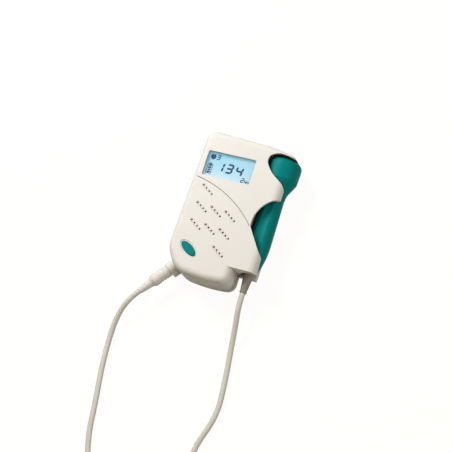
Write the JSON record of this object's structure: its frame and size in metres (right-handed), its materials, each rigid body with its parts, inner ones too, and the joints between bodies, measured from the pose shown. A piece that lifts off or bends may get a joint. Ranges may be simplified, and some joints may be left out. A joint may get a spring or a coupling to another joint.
{
  "type": "fetal doppler monitor",
  "caption": "Pocket fetal heart monitor: flat two-shell case with display, speaker grille, power key and side dock that holds a hand probe on a plug-in cord.",
  "frame": {"origin": "on the case's back plane, under the middle of the lower part of the case", "axes": "+Z out of the front face, +Y towards the display end, +X towards the probe's dock; the case lies on its back"},
  "size_m": [0.1302, 0.3632, 0.035],
  "materials": {
    "case": "fine satin moulded ivory plastic",
    "window": "clear polished plastic lens",
    "lcd": "pale blue display glass with dark segments",
    "backlight": "white light guide",
    "dark_frame": "moulded black plastic",
    "circuit_board": "green solder mask",
    "chips": "black moulded packages",
    "teal": "teal satin gloss plastic",
    "wheel": "knurled dark grey plastic",
    "basket": "pressed plated steel",
    "paper": "black doped paper",
    "ferrite": "sintered ferrite and plated yoke",
    "cell_can": "printed steel can",
    "contact": "nickel-plated spring steel",
    "screw": "zinc-plated steel",
    "insulator": "black insulator",
    "pins": "gold-flashed brass",
    "lens": "soft moulded acoustic lens",
    "ceramic": "silvered ceramic half discs",
    "absorber": "filled epoxy",
    "grey_rubber": "grey moulded strain relief",
    "shield": "plated shell",
    "plug_body": "pale grey moulded grip",
    "cord_jacket": "pale grey cord jacket",
    "strap": "dark hook and loop strap"
  },
  "bodies": {
    "housing": {"front_shell": "case", "rear_shell": "case", "display_window": "window", "display_panel": "lcd", "display_backlight": "backlight", "display_frame": "dark_frame", "main_board": "circuit_board", "board_chips": "chips", "button_switch": "chips", "volume_control": "chips", "headphone_jack": "insulator", "speaker_basket": "basket", "speaker_cone": "paper", "speaker_magnet": "ferrite", "battery_cell_left": "cell_can", "battery_cell_right": "cell_can", "battery_contacts": "contact", "battery_springs": "contact", "case_screws": "screw", "socket_insert": "insulator", "socket_pins": "pins", "cord_probe_lead": "cord_jacket", "cord_coil": "cord_jacket", "cord_tie": "strap"},
    "probe": {"probe_front_shell": "teal", "probe_rear_shell": "teal", "probe_lens": "lens", "probe_crystals": "ceramic", "probe_backing": "absorber", "probe_board": "circuit_board", "probe_gland": "grey_rubber"},
    "plug": {"plug_shield": "shield", "plug_insert": "insulator", "plug_grip": "plug_body", "plug_boot": "plug_body", "cord_plug_lead": "cord_jacket"},
    "power_button": {"power_button": "teal"},
    "volume_wheel": {"volume_wheel": "wheel"},
    "battery_door": {"battery_door": "case"}
  },
  "joints": [
    {"name": "probe_lift", "type": "slide", "parent": "housing", "child": "probe", "axis": [0.9999, -0.0157, 0], "range_m": [0, 0.06]},
    {"name": "plug_pull", "type": "slide", "parent": "housing", "child": "plug", "axis": [-0.6293, -0.7771, 0], "range_m": [0, 0.014]},
    {"name": "power_press", "type": "slide", "parent": "housing", "child": "power_button", "axis": [0, 0, -1], "range_m": [0, 0.001], "stiffness_N_per_m": 300},
    {"name": "volume_turn", "type": "hinge", "parent": "housing", "child": "volume_wheel", "pos_m": [-0.03626, 0.008, 0.02365], "axis": [0, 0, 1], "range_deg": [-135, 135]},
    {"name": "door_slide", "type": "slide", "parent": "housing", "child": "battery_door", "axis": [0, -1, 0], "range_m": [0, 0.06]}
  ]
}
